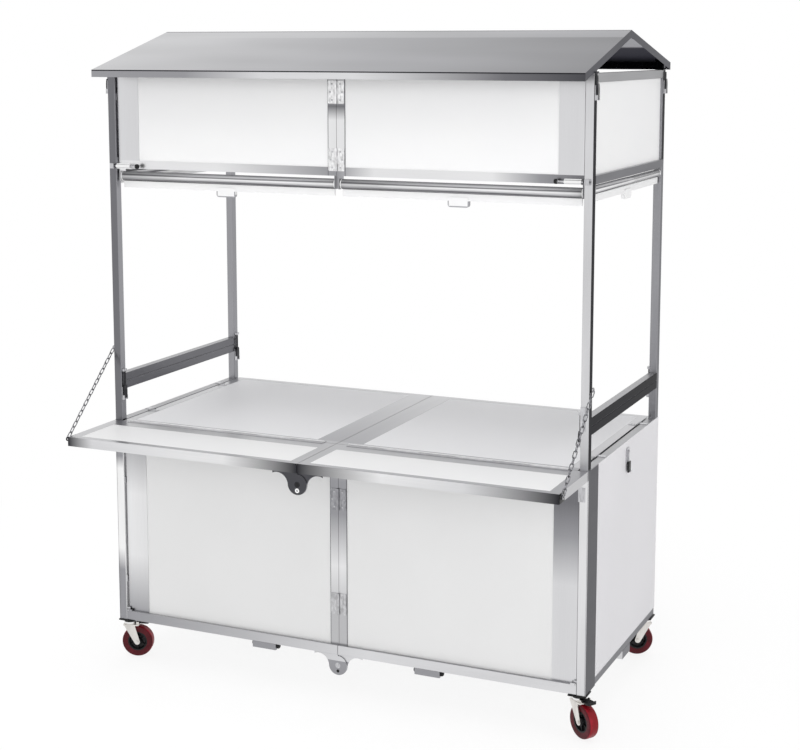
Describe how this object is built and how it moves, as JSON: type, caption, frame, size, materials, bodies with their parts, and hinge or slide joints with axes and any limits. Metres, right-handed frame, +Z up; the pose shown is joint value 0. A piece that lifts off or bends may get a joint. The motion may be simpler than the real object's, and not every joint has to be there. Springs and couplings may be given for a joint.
{
  "type": "folding food cart",
  "caption": "Folding stainless food cart on casters with a gabled roof, sign box, roller blinds, counter and front flap on chains.",
  "frame": {"origin": "on the floor under the middle of the outer box", "axes": "+X to the right along the counter, +Y to the rear, +Z up"},
  "size_m": [1.6382, 1.041, 1.987],
  "materials": {
    "stainless": "brushed",
    "zinc": "zinc plated, bright",
    "white_panel": "smooth white sheet",
    "counter_board": "smooth pale board",
    "blind_white": "white",
    "aluminium": "satin",
    "red_tyre": "smooth polyurethane",
    "black_plastic": "moulded"
  },
  "bodies": {
    "left_frame": {"base_frame_left": "stainless", "upper_frame_left": "stainless", "side_boards_left": "white_panel", "fittings_left": "zinc"},
    "front_left": {"front_frame_left": "stainless", "sign_frame_left": "stainless", "front_boards_left": "white_panel", "middle_hinges_left": "zinc"},
    "counter_left": {"counter_frame_left": "stainless", "counter_board_left": "counter_board"},
    "flap_left": {"flap_frame_left": "stainless", "flap_board_left": "counter_board", "flap_chain_left": "zinc"},
    "bottom_rails_left": {"bottom_rails_left": "stainless"},
    "barrel_bolt_left": {"barrel_bolt_left": "zinc"},
    "front_blind_tube_left": {"front_blind_tube_left": "aluminium"},
    "front_hem_bar_left": {"front_hem_bar_left": "aluminium"},
    "side_blind_tube_left": {"side_blind_tube_left": "blind_white"},
    "side_hem_bar_left": {"side_hem_bar_left": "aluminium"},
    "roof_latch_front_left": {"roof_latch_front_left": "zinc"},
    "roof_latch_rear_left": {"roof_latch_rear_left": "zinc"},
    "seam_latch_front_left": {"seam_latch_front_left": "zinc"},
    "seam_latch_rear_left": {"seam_latch_rear_left": "zinc"},
    "right_frame": {"base_frame_right": "stainless", "upper_frame_right": "stainless", "side_boards_right": "white_panel", "fittings_right": "zinc"},
    "front_right": {"front_frame_right": "stainless", "sign_frame_right": "stainless", "front_boards_right": "white_panel", "middle_hinges_right": "zinc"},
    "counter_right": {"counter_frame_right": "stainless", "counter_board_right": "counter_board"},
    "flap_right": {"flap_frame_right": "stainless", "flap_board_right": "counter_board", "flap_chain_right": "zinc"},
    "bottom_rails_right": {"bottom_rails_right": "stainless"},
    "barrel_bolt_right": {"barrel_bolt_right": "zinc"},
    "front_blind_tube_right": {"front_blind_tube_right": "aluminium"},
    "front_hem_bar_right": {"front_hem_bar_right": "aluminium"},
    "side_blind_tube_right": {"side_blind_tube_right": "blind_white"},
    "side_hem_bar_right": {"side_hem_bar_right": "aluminium"},
    "roof_latch_front_right": {"roof_latch_front_right": "zinc"},
    "roof_latch_rear_right": {"roof_latch_rear_right": "zinc"},
    "seam_latch_front_right": {"seam_latch_front_right": "zinc"},
    "seam_latch_rear_right": {"seam_latch_rear_right": "zinc"},
    "roof": {"roof_sheet": "stainless"},
    "hook_latch": {"hook_latch": "zinc"},
    "fork_front_left": {"caster_fork_front_left": "zinc"},
    "wheel_front_left": {"caster_wheel_front_left": "red_tyre"},
    "pedal_front_left": {"brake_pedal_front_left": "black_plastic"},
    "fork_front_right": {"caster_fork_front_right": "zinc"},
    "wheel_front_right": {"caster_wheel_front_right": "red_tyre"},
    "pedal_front_right": {"brake_pedal_front_right": "black_plastic"},
    "fork_rear_left": {"caster_fork_rear_left": "zinc"},
    "wheel_rear_left": {"caster_wheel_rear_left": "red_tyre"},
    "pedal_rear_left": {"brake_pedal_rear_left": "black_plastic"},
    "fork_rear_right": {"caster_fork_rear_right": "zinc"},
    "wheel_rear_right": {"caster_wheel_rear_right": "red_tyre"},
    "pedal_rear_right": {"brake_pedal_rear_right": "black_plastic"}
  },
  "joints": [
    {"name": "fold", "type": "hinge", "parent": "left_frame", "child": "front_left", "pos_m": [-0.746, -0.197, 1], "axis": [0, 0, 1], "range_deg": [0, 72]},
    {"name": "front_right_fold", "type": "hinge", "parent": "front_left", "child": "front_right", "pos_m": [0, -0.261, 1], "axis": [0, 0, 1], "range_deg": [-144, 0]},
    {"name": "right_frame_fold", "type": "hinge", "parent": "front_right", "child": "right_frame", "pos_m": [0.746, -0.197, 1], "axis": [0, 0, 1], "range_deg": [0, 72]},
    {"name": "counter_left_fold", "type": "hinge", "parent": "left_frame", "child": "counter_left", "pos_m": [-0.746, 0.0985, 0.78], "axis": [0, -1, 0], "range_deg": [0, 72]},
    {"name": "counter_right_fold", "type": "hinge", "parent": "counter_left", "child": "counter_right", "pos_m": [0, 0.0985, 0.716], "axis": [0, -1, 0], "range_deg": [-144, 0]},
    {"name": "bottom_rails_left_fold", "type": "hinge", "parent": "left_frame", "child": "bottom_rails_left", "pos_m": [-0.746, 0.0985, 0.156], "axis": [0, -1, 0], "range_deg": [0, 72]},
    {"name": "bottom_rails_right_fold", "type": "hinge", "parent": "bottom_rails_left", "child": "bottom_rails_right", "pos_m": [0, 0.0985, 0.092], "axis": [0, -1, 0], "range_deg": [-144, 0]},
    {"name": "flap_left_tilt", "type": "hinge", "parent": "counter_left", "child": "flap_left", "pos_m": [-0.4, -0.2685, 0.78], "axis": [-1, 0, 0], "range_deg": [0, 90], "deforming": ["flap_chain_left"]},
    {"name": "flap_right_tilt", "type": "hinge", "parent": "counter_right", "child": "flap_right", "pos_m": [0.4, -0.2685, 0.78], "axis": [-1, 0, 0], "range_deg": [0, 90], "deforming": ["flap_chain_right"]},
    {"name": "roof_lift", "type": "slide", "parent": "left_frame", "child": "roof", "axis": [0, 0, 1], "range_m": [0, 0.25]},
    {"name": "swivel_front_left", "type": "hinge", "parent": "left_frame", "child": "fork_front_left", "pos_m": [-0.752, -0.2445, 0.11], "axis": [0, 0, 1], "continuous": true},
    {"name": "wheel_spin_front_left", "type": "hinge", "parent": "fork_front_left", "child": "wheel_front_left", "pos_m": [-0.72945, -0.23629, 0.05], "axis": [-0.342, 0.9397, 0], "continuous": true},
    {"name": "brake_front_left", "type": "hinge", "parent": "fork_front_left", "child": "pedal_front_left", "pos_m": [-0.72804, -0.23578, 0.1114], "axis": [-0.342, 0.9397, 0], "range_deg": [0, 10]},
    {"name": "swivel_front_right", "type": "hinge", "parent": "right_frame", "child": "fork_front_right", "pos_m": [0.752, -0.2445, 0.11], "axis": [0, 0, 1], "continuous": true},
    {"name": "wheel_spin_front_right", "type": "hinge", "parent": "fork_front_right", "child": "wheel_front_right", "pos_m": [0.77166, -0.25827, 0.05], "axis": [0.5736, 0.8192, 0], "continuous": true},
    {"name": "brake_front_right", "type": "hinge", "parent": "fork_front_right", "child": "pedal_front_right", "pos_m": [0.77289, -0.25913, 0.1114], "axis": [0.5736, 0.8192, 0], "range_deg": [0, 10]},
    {"name": "swivel_rear_left", "type": "hinge", "parent": "left_frame", "child": "fork_rear_left", "pos_m": [-0.752, 0.4415, 0.11], "axis": [0, 0, 1], "continuous": true},
    {"name": "wheel_spin_rear_left", "type": "hinge", "parent": "fork_rear_left", "child": "wheel_rear_left", "pos_m": [-0.77166, 0.45527, 0.05], "axis": [-0.5736, -0.8192, 0], "continuous": true},
    {"name": "brake_rear_left", "type": "hinge", "parent": "fork_rear_left", "child": "pedal_rear_left", "pos_m": [-0.77289, 0.45613, 0.1114], "axis": [-0.5736, -0.8192, 0], "range_deg": [0, 10]},
    {"name": "swivel_rear_right", "type": "hinge", "parent": "right_frame", "child": "fork_rear_right", "pos_m": [0.752, 0.4415, 0.11], "axis": [0, 0, 1], "continuous": true},
    {"name": "wheel_spin_rear_right", "type": "hinge", "parent": "fork_rear_right", "child": "wheel_rear_right", "pos_m": [0.73025, 0.43136, 0.05], "axis": [0.4226, -0.9063, 0], "continuous": true},
    {"name": "brake_rear_right", "type": "hinge", "parent": "fork_rear_right", "child": "pedal_rear_right", "pos_m": [0.72889, 0.43072, 0.1114], "axis": [0.4226, -0.9063, 0], "range_deg": [0, 10]},
    {"name": "roof_latch_front_left_swing", "type": "hinge", "parent": "left_frame", "child": "roof_latch_front_left", "pos_m": [-0.78, -0.255, 1.804], "axis": [0, -1, 0], "range_deg": [0, 110]},
    {"name": "seam_latch_front_left_swing", "type": "hinge", "parent": "left_frame", "child": "seam_latch_front_left", "pos_m": [-0.745, -0.255, 0.849], "axis": [0, -1, 0], "range_deg": [-110, 0]},
    {"name": "roof_latch_rear_left_swing", "type": "hinge", "parent": "left_frame", "child": "roof_latch_rear_left", "pos_m": [-0.78, 0.452, 1.804], "axis": [0, -1, 0], "range_deg": [0, 110]},
    {"name": "seam_latch_rear_left_swing", "type": "hinge", "parent": "left_frame", "child": "seam_latch_rear_left", "pos_m": [-0.745, 0.452, 0.849], "axis": [0, -1, 0], "range_deg": [-110, 0]},
    {"name": "barrel_bolt_left_shoot", "type": "slide", "parent": "front_left", "child": "barrel_bolt_left", "axis": [-1, 0, 0], "range_m": [0, 0.018]},
    {"name": "front_blind_left_pull", "type": "slide", "parent": "front_left", "child": "front_hem_bar_left", "axis": [0, 0, 1], "range_m": [-0.7, 0]},
    {"name": "front_blind_left_turn", "type": "hinge", "parent": "front_left", "child": "front_blind_tube_left", "pos_m": [-0.375, -0.2415, 1.545], "axis": [1, 0, 0], "range_deg": [-2600, 2600]},
    {"name": "side_blind_left_pull", "type": "slide", "parent": "left_frame", "child": "side_hem_bar_left", "axis": [0, 0, 1], "range_m": [-0.57, 0]},
    {"name": "side_blind_left_turn", "type": "hinge", "parent": "left_frame", "child": "side_blind_tube_left", "pos_m": [-0.7625, 0.0985, 1.553], "axis": [0, 1, 0], "range_deg": [-2600, 2600]},
    {"name": "roof_latch_front_right_swing", "type": "hinge", "parent": "right_frame", "child": "roof_latch_front_right", "pos_m": [0.78, -0.255, 1.804], "axis": [0, 1, 0], "range_deg": [0, 110]},
    {"name": "seam_latch_front_right_swing", "type": "hinge", "parent": "right_frame", "child": "seam_latch_front_right", "pos_m": [0.745, -0.255, 0.849], "axis": [0, 1, 0], "range_deg": [-110, 0]},
    {"name": "roof_latch_rear_right_swing", "type": "hinge", "parent": "right_frame", "child": "roof_latch_rear_right", "pos_m": [0.78, 0.452, 1.804], "axis": [0, 1, 0], "range_deg": [0, 110]},
    {"name": "seam_latch_rear_right_swing", "type": "hinge", "parent": "right_frame", "child": "seam_latch_rear_right", "pos_m": [0.745, 0.452, 0.849], "axis": [0, 1, 0], "range_deg": [-110, 0]},
    {"name": "barrel_bolt_right_shoot", "type": "slide", "parent": "front_right", "child": "barrel_bolt_right", "axis": [1, 0, 0], "range_m": [0, 0.018]},
    {"name": "front_blind_right_pull", "type": "slide", "parent": "front_right", "child": "front_hem_bar_right", "axis": [0, 0, 1], "range_m": [-0.7, 0]},
    {"name": "front_blind_right_turn", "type": "hinge", "parent": "front_right", "child": "front_blind_tube_right", "pos_m": [0.375, -0.2415, 1.545], "axis": [1, 0, 0], "range_deg": [-2600, 2600]},
    {"name": "side_blind_right_pull", "type": "slide", "parent": "right_frame", "child": "side_hem_bar_right", "axis": [0, 0, 1], "range_m": [-0.57, 0]},
    {"name": "side_blind_right_turn", "type": "hinge", "parent": "right_frame", "child": "side_blind_tube_right", "pos_m": [0.7625, 0.0985, 1.553], "axis": [0, 1, 0], "range_deg": [-2600, 2600]},
    {"name": "hook_latch_swing", "type": "hinge", "parent": "right_frame", "child": "hook_latch", "pos_m": [0.78, 0.1135, 0.747], "axis": [1, 0, 0], "range_deg": [0, 90]}
  ],
  "couplings": [
    {"joint": "front_right_fold", "follows": "fold", "ratio": -2},
    {"joint": "right_frame_fold", "follows": "fold", "ratio": 1},
    {"joint": "counter_left_fold", "follows": "fold", "ratio": 1},
    {"joint": "counter_right_fold", "follows": "fold", "ratio": -2},
    {"joint": "bottom_rails_left_fold", "follows": "fold", "ratio": 1},
    {"joint": "bottom_rails_right_fold", "follows": "fold", "ratio": -2},
    {"joint": "flap_right_tilt", "follows": "flap_left_tilt", "ratio": 1},
    {"joint": "front_blind_left_turn", "follows": "front_blind_left_pull", "rad_per_m": 62.5},
    {"joint": "side_blind_left_turn", "follows": "side_blind_left_pull", "rad_per_m": 76.9},
    {"joint": "front_blind_right_turn", "follows": "front_blind_right_pull", "rad_per_m": 62.5},
    {"joint": "side_blind_right_turn", "follows": "side_blind_right_pull", "rad_per_m": 76.9}
  ]
}
